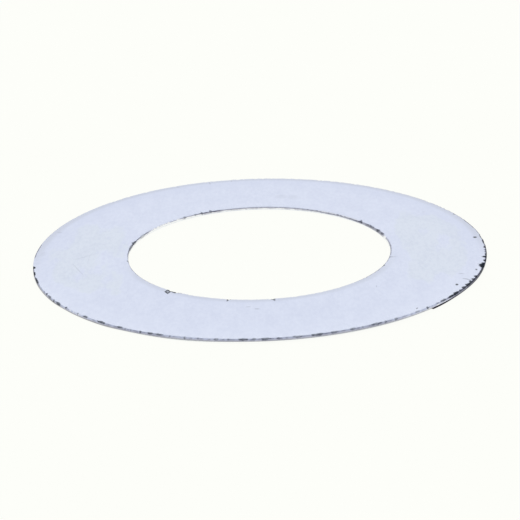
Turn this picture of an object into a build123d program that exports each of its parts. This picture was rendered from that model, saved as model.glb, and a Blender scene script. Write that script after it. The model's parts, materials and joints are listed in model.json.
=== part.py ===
from build123d import *
import os
from typing import NamedTuple

# Shim ring: one flat ring blanked and pierced in a single stroke from thin
# steel strip. It lies on Z = 0, with the axis of its bore along +Z.
# Both cut edges came off the tool the same way up: the corner at the bottom is
# rolled over, a straight burnished land stands above it, and the last of the
# metal has broken away along a slight taper to a sharp corner at the top face.
# Handling has knocked small nicks into those sharp top corners.
# Lengths are in millimetres, angles in degrees counter-clockwise from +X.

# Overall sizes
outer_diameter = 45.0
bore_diameter = 26.0
thickness = 0.3

# Section of a punched edge
roll_radius = 0.05  # rolled-over bottom corner
land_height = 0.1  # burnished land, straight above the roll
break_taper = 0.02  # how far the broken metal leans back from the land at the top face
nick_runout = 1.5  # a nick's cutter goes past both ends of its floor by this share of it

outer_radius = outer_diameter / 2
bore_radius = bore_diameter / 2


class Nick(NamedTuple):
    """A V-shaped nick across the top corner of an edge."""

    azimuth: float  # where its floor lies along the edge
    reach: float  # how far the floor runs in across the top face
    drop: float  # how far it comes down the edge
    behind: float  # half opening on the clockwise side
    ahead: float  # half opening on the counter-clockwise side


rim_nicks = [
    Nick(azimuth=344.4, reach=0.45, drop=0.2, behind=1.1, ahead=0.6),
    Nick(azimuth=330.6, reach=0.1, drop=0.12, behind=0.9, ahead=0.7),
    Nick(azimuth=323.4, reach=0.08, drop=0.12, behind=0.9, ahead=0.8),
    Nick(azimuth=318.4, reach=0.13, drop=0.13, behind=0.35, ahead=0.3),
    Nick(azimuth=245.6, reach=0.1, drop=0.12, behind=0.5, ahead=0.4),
    Nick(azimuth=235.2, reach=0.12, drop=0.12, behind=0.3, ahead=0.35),
    Nick(azimuth=229.5, reach=0.13, drop=0.14, behind=0.45, ahead=0.4),
    Nick(azimuth=212.4, reach=0.1, drop=0.12, behind=0.35, ahead=0.45),
    Nick(azimuth=195.6, reach=0.08, drop=0.12, behind=0.5, ahead=0.5),
    Nick(azimuth=191.0, reach=0.09, drop=0.13, behind=0.6, ahead=0.5),
]

bore_nicks = [
    Nick(azimuth=229.6, reach=0.72, drop=0.2, behind=0.35, ahead=0.42),
    Nick(azimuth=232.7, reach=0.24, drop=0.13, behind=0.2, ahead=0.22),
    Nick(azimuth=256.5, reach=0.5, drop=0.13, behind=0.1, ahead=0.1),
    Nick(azimuth=274.5, reach=0.46, drop=0.13, behind=0.12, ahead=0.1),
    Nick(azimuth=336.0, reach=0.17, drop=0.13, behind=0.2, ahead=0.17),
    Nick(azimuth=165.6, reach=0.18, drop=0.14, behind=0.4, ahead=0.3),
    Nick(azimuth=116.8, reach=0.34, drop=0.15, behind=0.12, ahead=0.16),
    Nick(azimuth=112.4, reach=0.32, drop=0.15, behind=0.2, ahead=0.16),
    Nick(azimuth=35.4, reach=0.38, drop=0.14, behind=0.3, ahead=0.16),
    Nick(azimuth=21.6, reach=0.3, drop=0.15, behind=0.3, ahead=0.26),
]


def ring_section():
    """Half section of the ring: both punched edges and the two flat faces."""
    land_top = roll_radius + land_height
    with BuildSketch(Plane.XZ) as section:
        with BuildLine():
            Line((bore_radius + roll_radius, 0), (outer_radius - roll_radius, 0))
            RadiusArc((outer_radius - roll_radius, 0), (outer_radius, roll_radius), -roll_radius)
            Line((outer_radius, roll_radius), (outer_radius, land_top))
            Line((outer_radius, land_top), (outer_radius - break_taper, thickness))
            Line((outer_radius - break_taper, thickness), (bore_radius + break_taper, thickness))
            Line((bore_radius + break_taper, thickness), (bore_radius, land_top))
            Line((bore_radius, land_top), (bore_radius, roll_radius))
            RadiusArc((bore_radius, roll_radius), (bore_radius + roll_radius, 0), -roll_radius)
        make_face()
    return section.sketch


def nick_cutter(corner_radius, outward, nick):
    """A V-shaped bar whose lowest line is the nick's floor.

    corner_radius is where the edge meets the top face. outward is 1 on the outer
    edge and -1 on the bore, the way off the metal along the radius.
    """
    floor = Vector(outward * nick.reach, 0, -nick.drop)
    mouth = Vector(corner_radius, 0, thickness - nick.drop) + floor * nick_runout
    # Seen from the mouth the bar is a V, whose arms end one drop above the top face.
    drops_tall = 2 + nick_runout
    arm_behind = Vector(0, -nick.behind, nick.drop) * drops_tall
    arm_ahead = Vector(0, nick.ahead, nick.drop) * drops_tall
    end_face = make_face(Polyline(mouth, mouth + arm_behind, mouth + arm_ahead, close=True))
    bar = extrude(end_face, amount=floor.length * (1 + 2 * nick_runout), dir=-floor)
    return Rot(0, 0, nick.azimuth) * bar


def shim_ring():
    """The plain punched ring, then the nicks in its two top corners."""
    ring = revolve(ring_section(), axis=Axis.Z)
    for nick in rim_nicks:
        ring -= nick_cutter(outer_radius - break_taper, 1, nick)
    for nick in bore_nicks:
        ring -= nick_cutter(bore_radius + break_taper, -1, nick)
    return ring


ring = shim_ring()
ring.label = "shim_ring"
os.makedirs("parts", exist_ok=True)
export_step(ring, "parts/shim_ring.step")
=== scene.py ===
# %% [markdown]
# # A shim ring, made in Blender
#
# A shim ring is one flat ring of thin steel strip. A press punches its outside and its hole in a
# single stroke, and the ring then goes over a shaft to pack out a small gap.
#
# There is very little to see on such a part, so the little there is has to be right: the section of
# the two punched edges, the nicks along their sharp corners, and the pale satin finish of the faces.
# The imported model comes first. It is the fixed frame, and every size below starts from it.

# %% Load the frame
import json
import math
from typing import NamedTuple

import bpy
from mathutils import Matrix, Vector


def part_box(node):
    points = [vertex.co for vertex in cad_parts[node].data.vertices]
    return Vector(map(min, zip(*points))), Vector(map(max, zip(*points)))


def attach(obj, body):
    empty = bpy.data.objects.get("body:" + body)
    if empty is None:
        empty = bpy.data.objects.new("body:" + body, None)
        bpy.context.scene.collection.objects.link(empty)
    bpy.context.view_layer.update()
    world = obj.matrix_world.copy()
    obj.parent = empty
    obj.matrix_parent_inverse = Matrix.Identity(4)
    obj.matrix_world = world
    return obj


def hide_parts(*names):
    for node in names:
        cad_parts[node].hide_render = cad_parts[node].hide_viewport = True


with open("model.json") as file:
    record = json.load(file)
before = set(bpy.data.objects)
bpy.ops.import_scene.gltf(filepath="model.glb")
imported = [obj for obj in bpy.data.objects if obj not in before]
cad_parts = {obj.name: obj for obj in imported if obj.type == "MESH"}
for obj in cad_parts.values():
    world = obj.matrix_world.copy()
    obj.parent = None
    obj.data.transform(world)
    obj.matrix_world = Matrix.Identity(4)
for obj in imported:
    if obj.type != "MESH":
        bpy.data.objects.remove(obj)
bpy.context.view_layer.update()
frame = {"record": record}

ring_low, ring_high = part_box("shim_ring")
print("ring lies between", ring_low, "and", ring_high)

# %% [markdown]
# ## Sizes
#
# The record's mounts hold the two sizes that matter to a fitter, the bore and the outside, and the
# ring's own box holds its thickness. Blender works in metres, so the small sizes of the punched edge
# are written in millimetres and turned into metres by one constant.
#
# The ring has been handled, and it no longer lies quite flat. It is bent like a saddle, by about the
# thickness of a sheet of paper either way: it touches the floor at two opposite places on its rim, and
# stands clear of it at the two between. Its high side is an azimuth in degrees. Its middle has sunk a
# little, like a dish, and its bore was punched a hair off centre.
#
# A punched edge has three bands. The corner that the tool met last is rolled over. Above it stands a
# burnished land, which the tool cut. The rest tore away, leaning back a little from the land.

# %% Sizes of the ring and of its punched edges
MM = 0.001

mounts = {mount["name"]: mount for mount in frame["record"]["mounts"]}
outer_radius = mounts["rim"]["dims"]["r_mm"] * MM
bore_radius = mounts["bore"]["dims"]["r_mm"] * MM
thickness = ring_high[2] - ring_low[2]

roll_radius = 0.05 * MM
land_top = 0.15 * MM
rim_taper = 0.02 * MM
bore_taper = 0.08 * MM
rim_corner = outer_radius - rim_taper
bore_corner = bore_radius + bore_taper

bend = 0.12 * MM
high_side = -65.0
dish = 0.035 * MM
bore_shift = 0.045 * MM

rim_mm = outer_radius / MM
bore_mm = bore_radius / MM
thickness_mm = thickness / MM
print(f"outside {2 * rim_mm:.2f}, bore {2 * bore_mm:.2f}, thick {thickness_mm:.2f} mm")

# %% [markdown]
# ## Nicks
#
# The top corners are as sharp as the tool left them, so every knock has taken a chip out of them.
# Each nick is a V across the corner. Its floor runs in across the face by its reach and down the edge
# by its drop. It opens by its own amount behind and ahead of its azimuth, and it may lean ahead as it
# runs in. Its dark says how dark it is painted, up to 1, partly as dirt in the broken metal and partly
# as shade in the hollow. These nicks are in the solid model too, at very nearly the same places.
#
# The small flakes are only here. A flake leaves a shallow step along the corner and no V, so it is a
# nick with a blunt shape, and is written from its first to its last azimuth.
#
# They are listed one by one, because chips come from knocks and follow no rule. Azimuths are in degrees,
# counter-clockwise from +X, and lengths in millimetres.

# %% Nicks and flakes
class Nick(NamedTuple):
    azimuth: float
    reach: float
    drop: float
    behind: float
    ahead: float
    dark: float = 1.0
    lean: float = 0.0
    blunt: float = 1.0


def flake(first, last, reach, drop, dark, radius=outer_radius):
    """A shallow chip with a flat floor, from one azimuth to another."""
    half_width = math.radians(last - first) / 2 * radius / MM
    return Nick((first + last) / 2, reach, drop, half_width, half_width, dark, blunt=4.0)


rim_nicks = [
    Nick(344.4, 0.5, 0.2, 1.15, 0.65),
    Nick(330.6, 0.12, 0.12, 0.9, 0.7),
    Nick(323.4, 0.1, 0.12, 0.9, 0.8),
    Nick(318.4, 0.13, 0.13, 0.35, 0.3, 0.4),
    Nick(245.6, 0.1, 0.12, 0.5, 0.4, 0.5),
    Nick(235.2, 0.12, 0.12, 0.3, 0.35, 0.5),
    Nick(229.5, 0.13, 0.14, 0.45, 0.4, 0.7),
    Nick(212.4, 0.1, 0.12, 0.35, 0.45, 0.5),
    Nick(195.6, 0.08, 0.12, 0.5, 0.5, 0.5),
    Nick(191.0, 0.09, 0.13, 0.6, 0.5, 0.5),
]

bore_nicks = [
    Nick(229.6, 0.3, 0.15, 0.3, 0.4, 0.9),
    Nick(232.7, 0.24, 0.13, 0.45, 0.45),
    Nick(257.0, 0.24, 0.13, 0.2, 0.2, 0.9),
    Nick(274.9, 0.55, 0.13, 0.2, 0.18, 0.7, 0.25),
    Nick(336.0, 0.13, 0.13, 0.26, 0.2),
    Nick(165.6, 0.18, 0.12, 0.4, 0.3, 0.85),
    Nick(116.8, 0.3, 0.15, 0.12, 0.16, 0.65),
    Nick(112.4, 0.28, 0.15, 0.2, 0.16, 0.6),
    Nick(35.4, 0.3, 0.12, 0.16, 0.24, 0.65, 0.9),
    Nick(21.6, 0.24, 0.15, 0.3, 0.26, 0.7),
]

rim_flakes = [
    flake(185.9, 187.8, 0.2, 0.12, 1.0),
    flake(189.8, 192.4, 0.13, 0.14, 1.0),
    flake(193.6, 197.8, 0.1, 0.14, 0.95),
    flake(204.9, 205.6, 0.12, 0.12, 0.8),
    flake(206.4, 208.2, 0.09, 0.12, 0.65),
    flake(209.4, 210.4, 0.05, 0.16, 0.7),
    flake(211.2, 213.4, 0.07, 0.18, 0.8),
    flake(215.7, 216.4, 0.1, 0.12, 0.8),
    flake(220.8, 221.4, 0.05, 0.1, 0.55),
    flake(223.2, 224.8, 0.07, 0.11, 0.75),
    flake(228.0, 230.8, 0.07, 0.11, 0.8),
    flake(234.3, 235.8, 0.07, 0.1, 0.75),
    flake(236.5, 237.0, 0.04, 0.1, 0.5),
    flake(238.0, 238.5, 0.04, 0.1, 0.45),
    flake(240.6, 241.2, 0.06, 0.12, 0.8),
    flake(242.7, 244.3, 0.06, 0.1, 0.75),
    flake(245.1, 246.9, 0.07, 0.1, 0.75),
    flake(248.2, 248.7, 0.04, 0.1, 0.5),
    flake(251.8, 252.4, 0.07, 0.18, 0.6),
    flake(255.0, 255.5, 0.06, 0.1, 0.45),
    flake(259.0, 260.0, 0.08, 0.14, 0.55),
    flake(262.0, 262.5, 0.06, 0.1, 0.45),
    flake(264.6, 266.8, 0.1, 0.14, 0.7),
    flake(267.7, 268.5, 0.08, 0.12, 0.6),
    flake(269.6, 271.9, 0.1, 0.14, 0.65),
    flake(273.3, 274.0, 0.08, 0.12, 0.6),
    flake(276.8, 279.1, 0.08, 0.12, 0.55),
    flake(280.9, 284.0, 0.1, 0.14, 0.7),
    flake(285.6, 287.3, 0.09, 0.12, 0.6),
    flake(290.3, 291.7, 0.08, 0.12, 0.55),
    flake(293.3, 293.8, 0.06, 0.1, 0.45),
    flake(295.7, 298.6, 0.09, 0.13, 0.6),
    flake(299.3, 300.0, 0.08, 0.12, 0.55),
    flake(302.1, 303.0, 0.08, 0.12, 0.55),
    flake(308.3, 309.7, 0.06, 0.09, 0.45),
    flake(312.0, 312.8, 0.12, 0.12, 0.8),
    flake(315.6, 316.6, 0.09, 0.08, 0.5),
    flake(317.2, 319.4, 0.12, 0.09, 0.75),
    flake(320.4, 322.8, 0.11, 0.1, 0.95),
    flake(322.8, 325.0, 0.18, 0.1, 0.95),
    flake(325.4, 326.4, 0.16, 0.1, 0.8),
    flake(327.2, 328.8, 0.2, 0.11, 0.9),
    flake(329.2, 331.0, 0.21, 0.11, 0.9),
    flake(331.7, 333.0, 0.24, 0.12, 0.9),
    flake(333.4, 334.6, 0.19, 0.12, 0.9),
    flake(335.3, 336.7, 0.22, 0.12, 0.9),
    flake(338.8, 342.2, 0.07, 0.16, 0.85),
    flake(346.8, 348.2, 0.22, 0.14, 1.0),
    flake(349.3, 350.9, 0.3, 0.14, 1.0),
    flake(351.0, 352.6, 0.14, 0.14, 0.9),
    flake(353.2, 354.0, 0.16, 0.14, 0.8),
    flake(354.4, 355.6, 0.2, 0.14, 0.7),
    flake(356.3, 358.2, 0.2, 0.14, 0.8),
    flake(358.8, 362.4, 0.14, 0.14, 0.85),
    flake(363.0, 367.0, 0.12, 0.12, 0.75),
    flake(23.6, 24.4, 0.2, 0.05, 0.6),
]

bore_flakes = [
    flake(15.5, 18.5, 0.14, 0.08, 0.45, bore_radius),
    flake(25.5, 31.0, 0.12, 0.08, 0.4, bore_radius),
    flake(119.6, 120.8, 0.1, 0.08, 0.5, bore_radius),
    flake(125.2, 126.8, 0.08, 0.08, 0.5, bore_radius),
    flake(153.0, 158.0, 0.06, 0.1, 0.35, bore_radius),
    flake(163.0, 165.0, 0.08, 0.08, 0.7, bore_radius),
    flake(167.0, 174.0, 0.08, 0.08, 0.6, bore_radius),
    flake(186.8, 188.6, 0.1, 0.08, 0.5, bore_radius),
    flake(230.4, 233.8, 0.32, 0.09, 1.0, bore_radius),
    flake(256.3, 257.2, 0.5, 0.09, 0.8, bore_radius),
    flake(335.2, 336.6, 0.15, 0.1, 1.0, bore_radius),
    flake(345.8, 347.4, 0.3, 0.06, 0.25, bore_radius),
]
print(len(rim_nicks + bore_nicks), "nicks and", len(rim_flakes + bore_flakes), "small flakes")

# %% [markdown]
# ## Node trees written as Python
#
# Both the shape and the finish are made with nodes. A node tree is easier to read as sums than as
# boxes and wires, so two small classes do the wiring. A Graph adds a node: its type, its settings,
# then the values or wires of its sockets. A Wire is one output, and each operator adds a Math node.
# Vectors and colours go through nodes of their own, because a Math node keeps only one number.

# %% Helpers for node trees
class Graph:
    """A node tree that node() adds to."""

    def __init__(self, tree):
        self.tree = tree

    def node(self, kind, settings=None, inputs=None, out=0):
        """Add one node, set it up, feed its sockets, and give back one of its outputs."""
        node = self.tree.nodes.new(kind)
        for name, value in (settings or {}).items():
            setattr(node, name, value)
        for key, value in (inputs or {}).items():
            if isinstance(value, Wire):
                self.tree.links.new(value.socket, node.inputs[key])
            else:
                node.inputs[key].default_value = value
        return Wire(self, node.outputs[out]) if len(node.outputs) else None


class Wire:
    """One output socket, on which Python's operators work."""

    def __init__(self, graph, socket):
        self.graph = graph
        self.socket = socket

    def math(self, operation, *others):
        """A Math node that takes this wire first."""
        return self.graph.node("ShaderNodeMath", {"operation": operation}, dict(enumerate((self, *others))))

    def __add__(self, other):
        return self.math("ADD", other)

    __radd__ = __add__

    def __sub__(self, other):
        return self.math("SUBTRACT", other)

    def __rsub__(self, other):
        return (self * -1) + other

    def __mul__(self, other):
        return self.math("MULTIPLY", other)

    __rmul__ = __mul__

    def __truediv__(self, other):
        return self.math("DIVIDE", other)

    def lower_of(self, other):
        return self.math("MINIMUM", other)

    def higher_of(self, other):
        return self.math("MAXIMUM", other)

    def rise(self, low, high):
        """0 below low, 1 above high, and smooth between. With low above high it falls instead."""
        settings = {"interpolation_type": "SMOOTHSTEP"}
        inputs = {"Value": self, "From Min": low, "From Max": high}
        return self.graph.node("ShaderNodeMapRange", settings, inputs)


def split(vector):
    """The three numbers of a vector wire."""
    node = vector.graph.node("ShaderNodeSeparateXYZ", inputs={0: vector}).socket.node
    return [Wire(vector.graph, socket) for socket in node.outputs]


def join(x, y, z):
    """A vector wire made of three numbers, at least one of them a wire."""
    graph = next(value.graph for value in (x, y, z) if isinstance(value, Wire))
    return graph.node("ShaderNodeCombineXYZ", inputs={0: x, 1: y, 2: z})


def dot(vector, other):
    """The dot product of a vector wire and another vector."""
    settings = {"operation": "DOT_PRODUCT"}
    return vector.graph.node("ShaderNodeVectorMath", settings, {0: vector, 1: other}, out="Value")


def scaled(vector, factor):
    """A vector wire made longer or shorter."""
    return vector.graph.node("ShaderNodeVectorMath", {"operation": "SCALE"}, {0: vector, "Scale": factor})


def from_axis(x, y):
    """How far a point lies from the ring's axis."""
    return (x * x + y * y).math("SQRT")


def soft_noise(place, scale, detail=2.0, roughness=0.5):
    """A noise from 0 to 1, with scale lumps in each unit of length."""
    inputs = {"Vector": place, "Scale": scale, "Detail": detail, "Roughness": roughness}
    return place.graph.node("ShaderNodeTexNoise", inputs=inputs)

# %% [markdown]
# ## The section
#
# Everything about a punched ring is in its section, so the section is drawn once, as a row of points,
# and turned round the axis later. It runs counter-clockwise: out along the bottom, up the outside,
# back across the top and down the bore. The rows crowd together near the two top corners, because the
# nicks are pressed in there, and a nick needs somewhere to bend. Each point also says whether the
# surface after it is cut metal, so that the finish can tell the two edges from the faces.

# %% Draw the section
def between(start, end, steps):
    """Points from start towards end, without end itself."""
    return [
        tuple(a + (b - a) * step / steps for a, b in zip(start, end))
        for step in range(steps)
    ]


def rolled_corner(centre_x, first_angle, last_angle, steps):
    """Points round a rolled bottom corner, without the last one."""
    angles = [first_angle + (last_angle - first_angle) * step / steps for step in range(steps)]
    return [
        (centre_x + roll_radius * math.cos(angle), roll_radius + roll_radius * math.sin(angle))
        for angle in angles
    ]


def face_rows(corner, inwards, zone, steps):
    """Rows across the top face, close together at the corner and further apart away from it."""
    crowding = 1.5
    return [
        (corner + inwards * zone * (step / steps) ** crowding, thickness)
        for step in range(steps + 1)
    ]


LEFT, DOWN, RIGHT = -math.pi, -math.pi / 2, 0.0
rim_zone, bore_zone = 0.7 * MM, 1.3 * MM
rim_rows = face_rows(rim_corner, -1, rim_zone, 11)
bore_rows = face_rows(bore_corner, 1, bore_zone, 15)[::-1]

bottom = [
    *between((bore_radius + roll_radius, 0), (outer_radius - roll_radius, 0), 2),
    *rolled_corner(outer_radius - roll_radius, DOWN, RIGHT, 4),
]
rim_wall = [
    *between((outer_radius, roll_radius), (outer_radius, land_top), 2),
    *between((outer_radius, land_top), (rim_corner, thickness), 6),
]
top_face = [*rim_rows[:-1], *between(rim_rows[-1], bore_rows[0], 2), *bore_rows[:-1]]
bore_wall = [
    *between((bore_corner, thickness), (bore_radius, land_top), 6),
    *between((bore_radius, land_top), (bore_radius, roll_radius), 2),
]
bore_roll = rolled_corner(bore_radius + roll_radius, LEFT, DOWN, 4)

bands = ((bottom, 0.0), (rim_wall, 1.0), (top_face, 0.0), (bore_wall, 1.0), (bore_roll, 0.0))
section = [point for band, _ in bands for point in band]
is_cut = [cut for band, cut in bands for _ in band]
print("section of", len(section), "points,", int(sum(is_cut)), "of them on the cut edges")

# %% [markdown]
# A node tree can't read a Python list, but it can read a mesh. So the section becomes a row of loose
# points, and the nicks become loose points that carry their sizes as attributes.

# %% Points for the tree
def point_object(name, points, columns):
    """Loose points, each with one number in every column."""
    mesh = bpy.data.meshes.new(name)
    mesh.from_pydata(points, [], [])
    for column, values in columns.items():
        mesh.attributes.new(column, "FLOAT", "POINT").data.foreach_set("value", values)
    piece = bpy.data.objects.new(name, mesh)
    bpy.context.scene.collection.objects.link(piece)
    return piece


def place_nicks(name, corners):
    """One point for each nick, on its corner, which carries the nick's sizes."""
    points = []
    lengths = ("reach", "drop", "behind", "ahead")
    numbers = ("dark", "lean", "blunt")
    columns = {column: [] for column in ("outward", *lengths, *numbers)}
    for corner, outward, nicks in corners:
        for nick in nicks:
            azimuth = math.radians(nick.azimuth)
            points.append((corner * math.cos(azimuth), corner * math.sin(azimuth), thickness))
            columns["outward"].append(outward)
            for length in lengths:
                columns[length].append(getattr(nick, length) * MM)
            for number in numbers:
                columns[number].append(getattr(nick, number))
    return point_object(name, points, columns)


section_points = point_object("section_points", [(x, 0.0, z) for x, z in section], {"cut": is_cut})
nicked_corners = (
    (rim_corner, 1.0, rim_nicks + rim_flakes),
    (bore_corner, -1.0, bore_nicks + bore_flakes),
)
nick_points = place_nicks("nick_points", nicked_corners)
print(len(section_points.data.vertices), "section points,", len(nick_points.data.vertices), "nick points")

# %% [markdown]
# ## Turning the section
#
# The ring could be spun in mesh code and cut with booleans, but a boolean leaves slivers round each
# nick. Instead a Geometry Nodes tree bends a plain grid: one way of the grid runs round the axis, and
# the other runs through the rows of the section. The grid's last row and last column land on its first
# ones, and merging them closes the ring.

# %% Tree helpers
def new_shape_tree(name, inputs):
    """A Geometry Nodes tree with a geometry output and these named inputs."""
    tree = bpy.data.node_groups.new(name, "GeometryNodeTree")
    tree.is_modifier = True
    tree.interface.new_socket("Geometry", in_out="INPUT", socket_type="NodeSocketGeometry")
    for label, kind in inputs.items():
        tree.interface.new_socket(label, in_out="INPUT", socket_type=f"NodeSocket{kind}")
    tree.interface.new_socket("Geometry", in_out="OUTPUT", socket_type="NodeSocketGeometry")
    graph = Graph(tree)
    entry = graph.node("NodeGroupInput").socket.node
    return graph, {socket.name: Wire(graph, socket) for socket in entry.outputs if socket.name}


def store(graph, geometry, name, value, domain="POINT"):
    """The geometry with a number kept on every point, or on every face."""
    settings = {"data_type": "FLOAT", "domain": domain}
    inputs = {"Geometry": geometry, "Name": name, "Value": value}
    return graph.node("GeometryNodeStoreNamedAttribute", settings, inputs)


def read_back(graph, name):
    """A number that store() kept."""
    return graph.node("GeometryNodeInputNamedAttribute", {"data_type": "FLOAT"}, {"Name": name})


def take(graph, geometry, value, index, kind="FLOAT"):
    """The value that one point of another geometry has."""
    inputs = {"Geometry": geometry, "Value": value, "Index": index}
    return graph.node("GeometryNodeSampleIndex", {"data_type": kind}, inputs)

# %% Turned section
def turned_section(graph, given):
    """A closed ring: the grid's X goes round the axis and its Y through the section's rows."""
    points = given["Geometry"]
    rows = graph.node("GeometryNodeAttributeDomainSize", inputs={"Geometry": points})
    inputs = {
        "Size X": 2 * math.pi,
        "Size Y": rows,
        "Vertices X": given["Segments"] + 1,
        "Vertices Y": rows + 1,
    }
    grid = graph.node("GeometryNodeMeshGrid", inputs=inputs)
    position = graph.node("GeometryNodeInputPosition")
    along, across, _ = split(position)
    row = across + rows * 0.5
    cut = take(graph, points, read_back(graph, "cut"), row.math("FLOOR"))
    grid = store(graph, grid, "cut_edge", cut, domain="FACE")
    place = take(graph, points, position, row.math("ROUND").math("MODULO", rows), "FLOAT_VECTOR")
    turn = {"Vector": place, "Angle": along}
    turned = graph.node("ShaderNodeVectorRotate", {"rotation_type": "Z_AXIS"}, turn)
    ring = graph.node("GeometryNodeSetPosition", inputs={"Geometry": grid, "Position": turned})
    return graph.node("GeometryNodeMergeByDistance", inputs={"Geometry": ring, "Distance": given["Seam"]})

# %% [markdown]
# ## Pressing in the nicks
#
# Each nick lowers a ceiling over the ring, and no point may stand higher than the lowest ceiling. A
# nick's ceiling goes by a sum of shares: how far in a point lies, as a share of the nick's reach, and
# how far to its side, as a share of its opening. Where the sum is 1 the ceiling is level with the top
# face, and where it is less the ceiling comes down. A fine wobble in the sum roughens the broken sides.
# Across the hole the sum of a bore nick would be far below 1, so much is added to it there.
#
# How near a point comes to a nick is kept in an attribute called chipped, which the finish uses to paint
# the nicks dark: partly dirt in the broken metal, and partly painted shade in the hollow.

# %% One nick
FAR = 1000.0


def press_nick(graph, nicks, number, top):
    """What one nick does at each point: how high it lets the metal stand, and how dark it is painted, partly
    as dirt and partly as shade.
    """
    def size(column):
        return take(graph, nicks, read_back(graph, column), number)

    place = graph.node("GeometryNodeInputPosition")
    x, y, _ = split(take(graph, nicks, place, number, "FLOAT_VECTOR"))
    corner = from_axis(x, y)
    outwards = dot(place, join(x, y, 0.0)) / corner
    inwards = size("outward") * (corner - outwards)
    sideways = dot(place, join(y * -1, x, 0.0)) / corner - size("lean") * inwards
    opening = size("behind") + sideways.math("GREATER_THAN", 0.0) * (size("ahead") - size("behind"))
    to_the_side = (sideways.math("ABSOLUTE") / opening).math("POWER", size("blunt"))
    across_the_hole = inwards.math("LESS_THAN", -2 * bore_taper) * FAR
    spread = inwards / size("reach") + to_the_side + read_back(graph, "wobble") + across_the_hole
    _, _, height = split(place)
    ceiling = top + size("drop") * (spread - 1)
    # This is 1 on the floor of the nick, and more the further away from it a point is.
    away = spread + (top - height) / size("drop")
    all_dark, no_longer_dark = 0.95, 1.35
    return ceiling, away.rise(no_longer_dark, all_dark) * size("dark")

# %% [markdown]
# A repeat zone goes through the nicks one by one. The lowest ceiling and the darkest chip so far are
# stored on the ring's points, where the next round finds them.

# %% Repeat zone
def wobble(graph):
    """A fine noise through space, which is 0 on average."""
    noise = soft_noise(graph.node("GeometryNodeInputPosition"), 4.5 / MM, detail=1.0)
    return (noise - 0.5) * 1.6


def lowered_by_nicks(graph, ring, given):
    """The ring with the ceiling that all nicks leave, and with how dark they make it."""
    nicks = graph.node("GeometryNodeObjectInfo", inputs={"Object": given["Nicks"]}, out="Geometry")
    how_many = graph.node("GeometryNodeAttributeDomainSize", {"component": "MESH"}, {"Geometry": nicks})
    ring = store(graph, ring, "ceiling", given["Top"] * 2)
    ring = store(graph, ring, "chipped", 0.0)
    ring = store(graph, ring, "wobble", wobble(graph))
    last = graph.node("GeometryNodeRepeatOutput").socket.node
    first = graph.tree.nodes.new("GeometryNodeRepeatInput")
    first.pair_with_output(last)
    graph.tree.links.new(how_many.socket, first.inputs["Iterations"])
    graph.tree.links.new(ring.socket, first.inputs["Geometry"])
    number = Wire(graph, first.outputs["Iteration"])
    ceiling, dark = press_nick(graph, nicks, number, given["Top"])
    pressed = Wire(graph, first.outputs["Geometry"])
    pressed = store(graph, pressed, "ceiling", read_back(graph, "ceiling").lower_of(ceiling))
    pressed = store(graph, pressed, "chipped", read_back(graph, "chipped").higher_of(dark))
    graph.tree.links.new(pressed.socket, last.inputs["Geometry"])
    return Wire(graph, last.outputs["Geometry"])

# %% [markdown]
# ## Ragged corners, and the bend
#
# A punched corner is ragged everywhere, also where nothing has knocked it. A last ceiling gives both
# top corners a narrow bevel, and a noise says how deeply it bites. The noise is read on the circle of
# the rim, so a tear runs straight down the edge. Its depth stays on the mesh as bite.
#
# Up to here the ring is flat and true, where the sums are simple, and the height that each point has
# then stays on the mesh as height. Only then is the ring bent and dished, and its bore moved.

# %% Ragged corners and bend
def bites(graph, given, x, y, radius):
    """How deeply each corner is torn, from 0 to 1. It changes only along the edge, never across it."""
    to_rim = given["Rim"] / radius
    place = join(x * to_rim, y * to_rim, given["Seed"])
    fine = soft_noise(place, 2.4 / MM, detail=3.0)
    coarse = soft_noise(place, 0.5 / MM, detail=1.0)
    return fine.rise(0.4, 0.66) * (coarse.rise(0.3, 0.7) * 0.6 + 0.4)


def ragged_ceiling(given, radius, bite):
    """The torn corner: a bevel that is as wide as the torn line, and as deep as the bite."""
    inwards = (given["Rim corner"] - radius).lower_of(radius - given["Bore corner"])
    depth = given["Torn depth"] * (bite * 0.8 + 0.2)
    return given["Top"] + depth * (inwards / given["Torn width"] - 1)


def bent(given, x, y):
    """How far the saddle lifts each point. The two lowest places on the rim just touch the floor."""
    turned = given["High side"] * 2
    rim_squared = given["Rim"] * given["Rim"]
    waist = (x * x - y * y) * turned.math("COSINE") + x * y * turned.math("SINE") * 2
    sunk = given["Dish"] * (1 - (x * x + y * y) / rim_squared)
    return given["Bend"] * (waist / rim_squared + 1) - sunk


def off_centre(given, x, y, radius):
    """The bore stays where it is on the right and lies further out towards the left. The rim stays."""
    share = (given["Rim"] - radius) / (given["Rim"] - given["Bore corner"]) * given["Bore shift"] / radius
    return x + share * (x - radius), y + share * y

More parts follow.
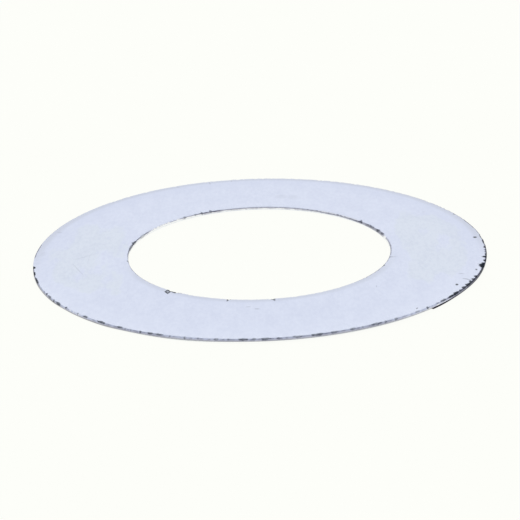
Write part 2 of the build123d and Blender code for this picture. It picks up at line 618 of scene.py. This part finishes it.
# %% The whole tree
def build_ring_tree():
    """From the section's points to the finished shape of the ring."""
    numbers = (
        "Seam", "Top", "Rim", "Rim corner", "Bore corner", "Torn depth", "Torn width", "Bend",
        "High side", "Dish", "Bore shift", "Seed",
    )
    inputs = {"Nicks": "Object", "Segments": "Int", **dict.fromkeys(numbers, "Float"), "Material": "Material"}
    graph, given = new_shape_tree("punched_ring", inputs)
    ring = lowered_by_nicks(graph, turned_section(graph, given), given)
    x, y, z = split(graph.node("GeometryNodeInputPosition"))
    radius = from_axis(x, y)
    ring = store(graph, ring, "bite", bites(graph, given, x, y, radius))
    ragged = ragged_ceiling(given, radius, read_back(graph, "bite"))
    lowest = z.lower_of(read_back(graph, "ceiling")).lower_of(ragged)
    ring = store(graph, ring, "height", lowest)
    shifted_x, shifted_y = off_centre(given, x, y, radius)
    lifted = join(shifted_x, shifted_y, read_back(graph, "height") + bent(given, x, y))
    ring = graph.node("GeometryNodeSetPosition", inputs={"Geometry": ring, "Position": lifted})
    for name in ("ceiling", "wobble"):
        ring = graph.node("GeometryNodeRemoveAttribute", inputs={"Geometry": ring, "Name": name})
    ring = graph.node("GeometryNodeSetShadeSmooth", inputs={"Geometry": ring, "Shade Smooth": False})
    ring = graph.node("GeometryNodeRealizeInstances", inputs={"Geometry": ring})
    ring = graph.node("GeometryNodeSetMaterial", inputs={"Geometry": ring, "Material": given["Material"]})
    graph.node("NodeGroupOutput", inputs={"Geometry": ring})
    return graph.tree


ring_tree = build_ring_tree()
print("ring tree of", len(ring_tree.nodes), "nodes")

# %% [markdown]
# ## The finish
#
# Shim strip is rolled bright and flat, and this one has a very thin, bluish zinc finish over the
# steel. It has no grain to speak of: it is a satin metal with faint cloudy patches, where the finish
# turns from lavender to a grey green. The edges were cut after the strip was finished, so they are
# bare: a burnished land below, and torn metal above it that is darker the deeper it tore.
#
# One material holds all of this, because it is one piece of metal. It reads the piece's own
# coordinates, in millimetres, and the four attributes that the shape left on the mesh: cut_edge,
# height, chipped and bite.

# %% Material helpers
def new_material(name):
    """A material, and the empty node tree that it starts with."""
    material = bpy.data.materials.new(name)
    material.use_nodes = True
    material.node_tree.nodes.clear()
    return material, Graph(material.node_tree)


def place_in_mm(graph):
    """Where a point of the piece lies, in millimetres."""
    return scaled(graph.node("ShaderNodeTexCoord", out="Object"), 1 / MM)


def mix(share, first, second):
    """From the first colour to the second, as share goes from 0 to 1."""
    graph = share.graph
    return graph.node("ShaderNodeMix", {"data_type": "RGBA"}, {0: share, 6: first, 7: second}, out=2)


def rim_or_bore(on_rim, rim, bore):
    """One value on the outer half of the strip, and another on the inner half."""
    return on_rim * (rim - bore) + bore

# %% [markdown]
# The zinc is speckled all over with paler spots. Rolling drew its clouds out along Y, so the noises are
# read with Y made smaller. Grey green clouds lie only near the left and right ends of the ring, clear
# of its rim.

# %% Zinc with faint clouds
LAVENDER = (0.668, 0.72, 0.876, 1.0)
PALE_LAVENDER = (0.725, 0.778, 0.925, 1.0)
GREY_GREEN = (0.66, 0.717, 0.838, 1.0)
PALE_GREEN = (0.716, 0.774, 0.884, 1.0)


def cloudy_zinc(place, radius):
    """Lavender zinc with paler spots, and with grey green clouds to its left and its right."""
    x, y, _ = split(place)
    rolled = join(x, y * 0.4, 0.0)
    ends = x.math("ABSOLUTE").rise(12.8, 15.2) * y.math("ABSOLUTE").rise(11.5, 7.5)
    ends = ends * radius.rise(rim_mm - 1.0, rim_mm - 3.0)
    clouds = soft_noise(rolled, 0.35, detail=3.0) - 0.5
    green = (ends * 0.75 + clouds * 3.2).rise(0.3, 0.65) * ends.math("GREATER_THAN", 0.02)
    pale = soft_noise(rolled, 0.7).rise(0.3, 0.7)
    speckles = soft_noise(rolled, 2.8, detail=3.0, roughness=0.75).rise(0.3, 0.7)
    paler = pale * 0.5 + speckles * (ends * 0.35 + 0.65) - 0.05
    return mix(green, mix(paler, LAVENDER, PALE_LAVENDER), mix(paler, GREY_GREEN, PALE_GREEN))

# %% [markdown]
# Punching drew the faces down a hair along both corners. That slope is too slight to model, so its light
# and shade are painted into the zinc: where the face slopes to the back it gets a painted shade, duller
# and then grey beside the corner, and where it slopes to the front a painted sheen makes it a little
# paler. The front of the rim is scuffed as well, and its pale scuffs are partly painted glints.

# %% Painted shade and sheen beside the corners, and scuffs
# The pale serves the scuffs and the painted sheen and glints. The dull and the grey are painted shade.
SCUFF_AND_SHEEN_PALE = (0.80, 0.855, 0.985, 1.0)
PAINTED_SHADE_DULL = (0.62, 0.675, 0.85, 1.0)
PAINTED_SHADE_GREY = (0.56, 0.60, 0.70, 1.0)


def zinc_with_painted_shade(place, radius, outwards, from_corner, on_rim):
    """The zinc of the faces, with painted shade and sheen beside the two corners, and scuffs that are partly
    painted glints.
    """
    to_the_right, to_the_back, _ = split(outwards)
    slope = to_the_back * rim_or_bore(on_rim, 1, -1)
    shaded_side = (slope + on_rim * 0.35).rise(0.1, 0.6)
    patches = soft_noise(scaled(outwards, rim_mm), 1.7, detail=3.0, roughness=0.7).rise(0.4, 0.65)
    scuffs_and_glints = patches * from_corner.rise(1.0, 0.1) * to_the_back.rise(0.2, -0.2) * on_rim * 0.35
    # Painted sheen where the face slopes to the front, and painted shade, dull then grey, where it slopes to
    # the back.
    painted_sheen = from_corner.rise(4.0, 0.6) * slope.rise(-0.2, -0.5) * rim_or_bore(on_rim, 0.2, 0.1)
    painted_shade_by_rim = from_corner.rise(4.2, 0.5) * 0.34
    painted_shade_by_bore = from_corner.rise(2.4, 0.3) * to_the_right.rise(0.9, -0.3) * 0.18
    painted_dulling = shaded_side * rim_or_bore(on_rim, painted_shade_by_rim, painted_shade_by_bore)
    painted_grey_shade = shaded_side * from_corner.rise(1.0, 0.3) * rim_or_bore(on_rim, 0.6, 0.5)
    colour = mix(scuffs_and_glints + painted_sheen, cloudy_zinc(place, radius), SCUFF_AND_SHEEN_PALE)
    return mix(painted_grey_shade, mix(painted_dulling, colour, PAINTED_SHADE_DULL), PAINTED_SHADE_GREY)

# %% [markdown]
# Knocks have left marks on the face as well: a few short dark dents near the rim and some faint
# hairlines. Each is an ellipse. A Mapping node set to Texture moves, turns and shrinks the piece's
# coordinates until that ellipse is a unit circle, so one distance is all that it takes. Azimuths and
# turns are in degrees, and the rest is in millimetres, but for the depth of its colour, up to 1.
#
# One dent near the bore is hollow, with four corners. Its sides are painted dark as shade, and its floor less
# dark.

# %% Marks on the top face
class Mark(NamedTuple):
    azimuth: float
    radius: float
    length: float
    width: float
    turn: float
    depth: float


face_marks = [
    Mark(4.8, 21.8, 0.46, 0.5, 170.0, 1.0),
    Mark(328.8, 21.55, 0.55, 0.34, 116.0, 1.0),
    Mark(333.3, 21.85, 1.0, 0.16, 0.0, 0.75),
    Mark(336.6, 20.9, 0.8, 0.14, 177.0, 0.4),
    Mark(340.5, 22.0, 0.5, 0.24, 110.0, 0.8),
    Mark(310.1, 21.98, 0.45, 0.2, 117.0, 0.7),
    Mark(30.0, 20.0, 0.4, 0.14, 160.0, 0.25),
    Mark(346.8, 13.45, 0.8, 0.3, 10.0, 0.16),
    Mark(103.9, 21.85, 0.75, 0.1, 178.0, 0.45),
    Mark(97.5, 22.0, 0.5, 0.2, 0.0, 0.2),
    Mark(113.5, 22.0, 0.5, 0.2, 0.0, 0.15),
    Mark(161.0, 21.8, 0.7, 0.5, 0.0, 0.12),
    Mark(177.4, 21.7, 1.5, 0.7, 90.0, 0.06),
    Mark(81.2, 16.4, 1.6, 1.5, 90.0, 0.07),
    Mark(76.6, 16.3, 1.4, 1.6, 90.0, 0.07),
    Mark(233.4, 13.31, 0.6, 0.18, 92.0, 0.6),
    Mark(268.5, 15.5, 0.6, 0.16, 80.0, 0.5),
    Mark(265.3, 14.95, 0.6, 0.14, 100.0, 0.35),
    Mark(315.0, 15.4, 0.55, 0.1, 130.0, 0.3),
    Mark(181.2, 17.65, 2.6, 0.1, 34.0, 0.18),
    Mark(191.5, 18.2, 4.0, 0.1, 101.0, 0.17),
    Mark(183.0, 17.0, 3.0, 0.07, 85.0, 0.08),
]

hollow_place = (-8.79, -10.32, 0.0)
hollow_half_size = (0.3, 0.56, 1.0)


def marked(place, marks):
    """How dark the marks make each point, from 0 to 1."""
    darkest = None
    for mark in marks:
        azimuth = math.radians(mark.azimuth)
        inputs = {
            "Vector": place,
            "Location": (mark.radius * math.cos(azimuth), mark.radius * math.sin(azimuth), 0.0),
            "Rotation": (0.0, 0.0, azimuth + math.radians(mark.turn)),
            "Scale": (mark.length / 2, mark.width / 2, 1.0),
        }
        inside = place.graph.node("ShaderNodeMapping", {"vector_type": "TEXTURE"}, inputs)
        away = place.graph.node("ShaderNodeVectorMath", {"operation": "LENGTH"}, {0: inside}, out="Value")
        dark = away.rise(1.25, 0.5) * mark.depth
        darkest = dark if darkest is None else darkest.higher_of(dark)
    return darkest


def hollow_dent_shade(place):
    """How dark the painted shade of the four cornered dent makes each point, from 0 to 1: dark on its sides
    and less dark on its floor.
    """
    inputs = {"Vector": place, "Location": hollow_place, "Scale": hollow_half_size}
    inside = place.graph.node("ShaderNodeMapping", {"vector_type": "TEXTURE"}, inputs)
    across, along, _ = split(inside)
    away = across.math("ABSOLUTE") + along.math("ABSOLUTE")
    return away.rise(1.25, 0.95) * (1 - away.rise(0.75, 0.3) * 0.6)


print(len(face_marks), "marks and a hollow dent on the top face")

# %% [markdown]
# The cut edges are bare steel, grey and uneven. Some stretches are paler than elsewhere, and some
# darker. Each stretch is an azimuth and half its width in degrees, then how much paler (above 0) or
# darker (below 0) its torn band and its land are than elsewhere, how much further in millimetres its
# torn line comes in over the face, and how bright its lip is. The last number, soft, is half of what
# each end takes to fade, in degrees.

# %% Stretches of the two edges
class Stretch(NamedTuple):
    azimuth: float
    half_width: float
    torn: float
    land: float
    fray: float = 0.0
    lip: float = 0.0
    soft: float = 1.5


rim_stretches = [
    Stretch(45.0, 32.0, -0.25, 0.0, 0.04, 0.0, 5.0),
    Stretch(175.0, 5.0, -0.5, 0.0, 0.1),
    Stretch(192.0, 6.0, -0.5, -0.3, 0.05),
    Stretch(219.0, 4.0, 0.2, 0.2),
    Stretch(226.5, 2.0, 0.1, 0.12),
    Stretch(281.0, 20.0, -0.15, 0.0, 0.02),
    Stretch(307.5, 5.0, 0.1, 0.2),
    Stretch(317.0, 4.2, 0.1, 0.4, 0.02),
    Stretch(325.5, 5.0, -0.5, -0.3, 0.04),
    Stretch(338.0, 7.5, -0.8, -1.8, 0.05),
    Stretch(355.0, 8.0, -0.9, -1.2, 0.13),
    Stretch(10.0, 9.0, -0.5, -0.6, 0.06),
    Stretch(93.0, 75.0, -0.05, 0.0, 0.03),
]

bore_stretches = [
    Stretch(0.0, 10.0, 0.0, 0.3),
    Stretch(13.0, 0.9, 0.9, 0.9, -0.06, 1.0, 0.6),
    Stretch(24.5, 8.0, -0.3, -0.45, -0.02),
    Stretch(19.5, 3.5, 0.0, 0.0, 0.1),
    Stretch(37.0, 3.0, -0.25, -0.3),
    Stretch(50.0, 15.0, -0.3, 0.0, -0.06, 1.0, 6.0),
    Stretch(87.0, 22.0, -0.1, 0.1, -0.06, 0.4, 5.0),
    Stretch(113.5, 5.0, -0.75, -0.1, -0.05, 0.0, 2.5),
    Stretch(122.0, 6.0, -0.1, 0.1, -0.06, 0.0, 2.0),
    Stretch(139.0, 10.0, 0.3, 0.4, -0.06, 0.5, 3.0),
    Stretch(156.0, 5.0, -0.55, 0.1, -0.01, 0.0, 2.5),
    Stretch(168.0, 7.0, -0.75, 0.2, 0.0, 0.0, 2.5),
    Stretch(178.0, 4.0, -0.5, 0.1, 0.05),
    Stretch(207.0, 14.0, -0.4, 0.0, 0.05, 0.0, 2.0),
    Stretch(232.0, 3.0, -0.9, 0.0, 0.14),
    Stretch(248.0, 5.0, -0.25, 0.0, 0.01, 0.0, 2.5),
    Stretch(325.0, 10.0, -0.2, 0.0, 0.01, 0.0, 4.0),
    Stretch(357.0, 6.0, -0.2, 0.0, 0.0, 0.0, 3.0),
]
print(len(rim_stretches), "stretches on the rim and", len(bore_stretches), "in the bore")

# %% [markdown]
# A stretch is found by its azimuth, as seen from the axis: the dot product of two unit vectors is the
# cosine of the angle between them, so no angle has to be worked out at any point, and there is no seam.

# %% Tones round an edge
def inside_stretch(outwards, azimuth, half_width, soft):
    """1 within half_width degrees of an azimuth. The wire is a unit vector that points off the axis."""
    turn = math.radians(azimuth)
    near = dot(outwards, (math.cos(turn), math.sin(turn), 0.0))
    edge = math.cos(math.radians(half_width + soft))
    middle = math.cos(math.radians(max(half_width - soft, 0.0)))
    return near.rise(edge, middle)


def edge_tones(outwards, stretches, **tones):
    """What its stretches make of an edge's usual tones, all the way round."""
    for stretch in stretches:
        inside = inside_stretch(outwards, stretch.azimuth, stretch.half_width, stretch.soft)
        for name, tone in tones.items():
            change = getattr(stretch, name)
            if change:
                tones[name] = inside * change + tone
    return tones


def tones_of_both_edges(outwards, on_rim):
    """The tones of whichever edge a point is nearer to."""
    rim = edge_tones(outwards, rim_stretches, torn=0.9, land=0.72, fray=0.0, lip=0.0)
    bore = edge_tones(outwards, bore_stretches, torn=0.95, land=1.1, fray=0.07, lip=0.0)
    return {name: rim_or_bore(on_rim, rim[name], bore[name]) for name in rim}

# %% [markdown]
# From its foot up, an edge is land, then torn metal above a line that wanders, and in places a bright
# lip. Rim and bore each have their own greys for the two. A tone of 1 is such a grey, less is darker,
# down to nearly black, and more is paler, up to almost white. Upright streaks run through the land,
# where the tool slid along it.

# %% Cut edges
DARK_EDGE_AND_FOOT_SHADOW = (0.06, 0.06, 0.12, 1.0)
TORN = (0.57, 0.615, 0.785, 1.0)
TORN_IN_BORE = (0.575, 0.6, 0.7, 1.0)
LAND = (0.6, 0.615, 0.735, 1.0)
LAND_IN_BORE = (0.6, 0.605, 0.66, 1.0)
PALE_EDGE = (0.94, 0.95, 0.95, 1.0)


def cut_metal(place, height, bite, on_rim, tones):
    """The colour of the cut edge, and where it is torn."""
    x, y, _ = split(place)
    wander = soft_noise(place, 1.6, detail=3.0) - 0.5
    line = height + wander * 0.1 - bite * 0.05 + tones["lip"] * 0.08 + rim_or_bore(on_rim, 0.0, -0.04)
    upper = line.rise(land_top / MM - 0.04, land_top / MM + 0.03)
    topmost = line.rise(thickness_mm - 0.08, thickness_mm - 0.02) * tones["lip"]
    torn = tones["torn"] - bite * 0.55
    torn = torn + topmost * (1.1 - torn)
    streaks = soft_noise(join(x, y, 0.0), 1.1).rise(0.35, 0.65) - 0.5
    land = tones["land"] - bite * 0.15 + streaks * 0.22
    grime = soft_noise(place, 5.0, detail=3.0) - 0.5
    paler = land + upper * (torn - land) + grime * 0.15
    metal = mix(on_rim, mix(upper, LAND_IN_BORE, TORN_IN_BORE), mix(upper, LAND, TORN))
    return mix((paler - 1) * 5, mix(paler, DARK_EDGE_AND_FOOT_SHADOW, metal), PALE_EDGE), upper

# %% [markdown]
# The whole finish is laid in layers: the zinc with its painted shade and sheen, the cut metal with the
# frayed line where it comes in over the face, the painted shade at the foot of the rim, and last the
# chips and marks, painted dark partly as dirt and partly as shade. The foot's painted shade is nearly
# black where the shade under the rim is deepest. The same stretch is used for the floor later.
#
# The zinc is a satin metal. Torn metal is rougher than it, and chips a little. All the relief is small,
# so it is left to a bump.

# %% Bright steel
DARK_OF_CHIPS_MARKS_AND_SHADE = (0.022, 0.03, 0.045, 1.0)
FOOT_SHADE_GREY = (0.32, 0.31, 0.34, 1.0)
deep_shade = {"azimuth": 331.6, "half_width": 16.9, "soft": 0.2}


def bright_steel():
    """One steel for the whole ring, with its zinc, its cut edges, its chips and its marks."""
    material, graph = new_material("bright_steel")

    def attribute(name):
        return graph.node("ShaderNodeAttribute", {"attribute_name": name}, out="Fac")

    place = place_in_mm(graph)
    x, y, _ = split(place)
    radius = from_axis(x, y)
    outwards = join(x / radius, y / radius, 0.0)
    from_corner = (rim_corner / MM - radius).lower_of(radius - bore_corner / MM)
    on_rim = radius.math("GREATER_THAN", (rim_mm + bore_mm) / 2)
    height = attribute("height") * (1 / MM)
    cut_edge, chipped, bite = attribute("cut_edge"), attribute("chipped"), attribute("bite")
    on_top = height.rise(0.6 * thickness_mm, 0.7 * thickness_mm) * (1 - cut_edge)

    tones = tones_of_both_edges(outwards, on_rim)
    fray_width = (bite * 0.08 + tones["fray"]).higher_of(0.005)
    frayed = (1 - from_corner / fray_width).rise(0.0, 0.4) * on_top
    edge_colour, torn = cut_metal(place, height, bite, on_rim, tones)
    face_colour = zinc_with_painted_shade(place, radius, outwards, from_corner, on_rim)
    colour = mix(cut_edge.higher_of(frayed), face_colour, edge_colour)

    # Painted shade on the rolled foot of the rim: grey all round, and nearly black in the deep shade stretch.
    painted_foot_shade = height.rise(0.07, 0.04) * radius.rise(rim_mm - 0.07, rim_mm - 0.04)
    shaded = inside_stretch(outwards, **deep_shade)
    colour = mix(painted_foot_shade * (shaded * 0.1 + 0.85), colour, mix(shaded, FOOT_SHADE_GREY, DARK_EDGE_AND_FOOT_SHADOW))
    # The marks are dark, and the hollow dent's dark sides and less dark floor are painted shade.
    marks_and_dent_shade = marked(place, face_marks).higher_of(hollow_dent_shade(place)) * on_top
    # The chips and marks are painted near black: dirt in the broken metal, and painted shade in the nicks and
    # in the hollow dent's sides.
    colour = mix(marks_and_dent_shade.higher_of(chipped), colour, DARK_OF_CHIPS_MARKS_AND_SHADE)

    torn = torn * cut_edge
    roughness = 0.36 + torn * 0.2 + chipped * (1 - torn) * 0.2
    grain = soft_noise(place, 9.0, detail=3.0) * 0.0006
    rough_edge = soft_noise(place, 14.0, detail=3.0) * torn * 0.012
    relief = grain + rough_edge - marks_and_dent_shade * 0.01
    bump = graph.node("ShaderNodeBump", inputs={"Strength": 1.0, "Distance": MM, "Height": relief})
    inputs = {"Base Color": colour, "Metallic": 1.0, "Roughness": roughness, "Normal": bump}
    shader = graph.node("ShaderNodeBsdfPrincipled", inputs=inputs)
    graph.node("ShaderNodeOutputMaterial", inputs={"Surface": shader})
    return material


steel = bright_steel()
print("finish of", len(steel.node_tree.nodes), "nodes")

# %% [markdown]
# ## Making the ring
#
# The tree runs as a modifier on the section's points. The inputs are set by each socket's identifier,
# before the object is first evaluated. The result is then copied into a plain mesh, and the modifier
# and the helper points are thrown away, so what is left is an ordinary closed mesh.

# %% Run the tree and keep the mesh
def run_tree(source, tree, values):
    """The mesh that a shape tree makes of an object, with its inputs set by name."""
    modifier = source.modifiers.new("shape", "NODES")
    modifier.node_group = tree
    for item in tree.interface.items_tree:
        if item.in_out == "INPUT" and item.name in values:
            modifier[item.identifier] = values[item.name]
    bpy.context.view_layer.update()
    shaped = source.evaluated_get(bpy.context.evaluated_depsgraph_get())
    mesh = bpy.data.meshes.new_from_object(shaped)
    source.modifiers.remove(modifier)
    return mesh


ring_values = {
    "Nicks": nick_points,
    "Segments": 1800,
    "Seam": 0.001 * MM,
    "Top": thickness,
    "Rim": outer_radius,
    "Rim corner": rim_corner,
    "Bore corner": bore_corner,
    "Torn depth": 0.07 * MM,
    "Torn width": 0.18 * MM,
    "Bend": bend,
    "High side": math.radians(high_side),
    "Dish": dish,
    "Bore shift": bore_shift,
    "Seed": 0.37,
    "Material": steel,
}
ring_mesh = run_tree(section_points, ring_tree, ring_values)
ring_mesh.name = "punched_ring"
for helper in (section_points, nick_points):
    bpy.data.objects.remove(helper)

ring = bpy.data.objects.new("punched_ring", ring_mesh)
bpy.context.scene.collection.objects.link(ring)
triangles = sum(len(polygon.vertices) - 2 for polygon in ring_mesh.polygons)
print("ring of", len(ring_mesh.vertices), "points and", triangles, "triangles")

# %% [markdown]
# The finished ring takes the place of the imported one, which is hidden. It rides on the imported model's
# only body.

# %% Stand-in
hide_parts("shim_ring")
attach(ring, "root")
print(ring.name, "stands in for shim_ring")

# %% [markdown]
# ## The floor, the light and the camera
#
# The ring lies on a pale floor under a plain bright sky, as in a light tent. Metal shows what is
# round it, so a pale satin ring needs a pale world: the sky is white low down and a little darker
# overhead, where one large soft lamp takes its place.
#
# The floor glows white for the camera, in metal and through glass, and is a plain matt floor for all
# other light. Along the ring's edge the matt floor shows, so that the ring keeps its contact shade, and
# there the matt floor is also painted as shadow: grey where the rim touches it at the left, and nearly
# black in the stretch where the shade under the rim is deepest. The shade has the outline of the rim,
# but moved to the back by a margin that changes along X, because the ring stands higher off the floor
# at its right. Lengths are in millimetres.

# %% Floor
floor_white = ((0.982, 0.99, 0.947, 1.0), (0.989, 0.997, 0.955, 1.0))
painted_contact_shadow = (0.4, 0.4, 0.42, 1.0)
painted_deep_shadow = (0.05, 0.035, 0.06, 1.0)
shade_steps = ((-19.7, -18.4, 0.13), (-14.5, -12.0, 0.17), (-8.0, -1.0, 0.3))
deep_steps = ((16.2, 18.2, 0.09), (19.0, 21.0, -0.1))


def shown_whitely(graph):
    """1 for what the camera sees directly, in metal or through glass, and 0 for other light."""
    rays = graph.node("ShaderNodeLightPath").socket.node
    camera, glossy, through = (
        Wire(graph, rays.outputs[f"Is {kind} Ray"]) for kind in ("Camera", "Glossy", "Transmission")
    )
    return camera.higher_of(glossy).higher_of(through)


def stepped(x, margin, steps):
    """A margin that changes smoothly along X, between two places and by an amount for each step."""
    for first, last, amount in steps:
        margin = x.rise(first, last) * amount + margin
    return margin


def pale_floor():
    """A white floor with the ring's contact shade, partly painted as a grey and a nearly black shadow."""
    material, graph = new_material("pale_floor")
    place = place_in_mm(graph)
    x, y, _ = split(place)
    radius = from_axis(x, y)
    to_the_back = y / radius
    inside_rim = rim_mm - radius
    under_strip = radius.math("GREATER_THAN", (rim_mm + bore_mm) / 2)
    margin = stepped(x, -0.17, shade_steps)
    shade = (inside_rim + margin * to_the_back).rise(-0.03, 0.07) * under_strip
    painted_touch_shadow = shade * x.rise(-11.0, -16.0)
    deep_margin = stepped(x, 0.17, deep_steps)
    deep = (inside_rim + deep_margin * to_the_back).rise(-0.03, 0.03) * under_strip
    deep = deep * inside_stretch(join(x / radius, to_the_back, 0.0), **deep_shade)

    white = mix(soft_noise(place, 0.04), *floor_white)
    glow = graph.node("ShaderNodeEmission", inputs={"Color": white, "Strength": 1.0})
    # Painted shadow: the matt floor is grey where the rim touches it, and nearly black in the deep stretch.
    colour = mix(deep, mix(painted_touch_shadow, white, painted_contact_shadow), painted_deep_shadow)
    matt = graph.node("ShaderNodeBsdfDiffuse", inputs={"Color": colour})
    share = shown_whitely(graph) * (0.95 - (shade * 0.75).higher_of(deep * 0.95))
    shader = graph.node("ShaderNodeMixShader", inputs={0: share, 1: matt, 2: glow})
    graph.node("ShaderNodeOutputMaterial", inputs={"Surface": shader})
    return material


def add_floor(half_width):
    """A square floor round the origin, at the height on which the ring lies."""
    corners = [(x * half_width, y * half_width, 0.0) for x, y in ((-1, -1), (1, -1), (1, 1), (-1, 1))]
    mesh = bpy.data.meshes.new("floor")
    mesh.from_pydata(corners, [], [(0, 1, 2, 3)])
    mesh.materials.append(pale_floor())
    floor = bpy.data.objects.new("floor", mesh)
    bpy.context.scene.collection.objects.link(floor)
    print("floor finish of", len(mesh.materials[0].node_tree.nodes), "nodes")
    return floor


add_floor(2.0)

# %% [markdown]
# The camera itself sees a sky that is white all over. Only the light that falls on the ring is weaker
# overhead. The lamp there is half a metre wide, far wider than the ring, so its shadows are soft.

# %% Sky and lamp
def light_tent():
    """A white sky whose light fades a little overhead."""
    world = bpy.data.worlds.new("light_tent")
    bpy.context.scene.world = world
    world.use_nodes = True
    world.node_tree.nodes.clear()
    graph = Graph(world.node_tree)
    _, _, up = split(graph.node("ShaderNodeTexCoord", out="Generated"))
    light = 1 - up.rise(0.4, 1.0) * 0.35
    rays = graph.node("ShaderNodeLightPath").socket.node
    seen = Wire(graph, rays.outputs["Is Camera Ray"])
    strength = light + seen * (1 - light)
    sky = {"Color": (1.0, 1.0, 1.0, 1.0), "Strength": strength}
    shader = graph.node("ShaderNodeBackground", inputs=sky)
    graph.node("ShaderNodeOutputWorld", inputs={"Surface": shader})


def soft_lamp(place, width, power):
    """A square lamp that shines straight down."""
    lamp = bpy.data.lights.new("overhead", "AREA")
    lamp.size = width
    lamp.energy = power
    holder = bpy.data.objects.new("overhead", lamp)
    holder.location = place
    bpy.context.scene.collection.objects.link(holder)
    return holder


light_tent()
overhead = soft_lamp(place=(-0.1, 0.1, 0.6), width=0.5, power=0.6)
print(f"lamp of {overhead.data.energy:.1f} W, {overhead.data.size:.1f} m wide")

# %% [markdown]
# A long lens from about 18 cm away draws the small ring with little perspective. The camera stands in
# front of it and looks down at 21 degrees, so both the face and the near edge show. It is rolled by a
# hair about its own axis.

# %% Camera
camera_data = bpy.data.cameras.new("camera")
camera_data.lens = 125.4
camera_data.sensor_width = 36.0
camera_data.clip_start = 0.01
camera = bpy.data.objects.new("camera", camera_data)
bpy.context.scene.collection.objects.link(camera)

camera_roll = -1.89
mean_top = thickness + bend
stand = Vector((0.0, -0.16928, mean_top + 0.06328))
aim = Vector((0.00001, -0.00286, mean_top))
view = (aim - stand).to_track_quat("-Z", "Y").to_matrix()
roll = Matrix.Rotation(math.radians(camera_roll), 3, "Z")
camera.matrix_world = Matrix.Translation(stand) @ (view @ roll).to_4x4()
bpy.context.scene.camera = camera
bpy.context.scene.view_settings.view_transform = "Standard"
look_down = math.degrees(math.atan2(stand.z - aim.z, aim.y - stand.y))
print(f"camera {(aim - stand).length:.3f} m away, looking down at {look_down:.1f} degrees")
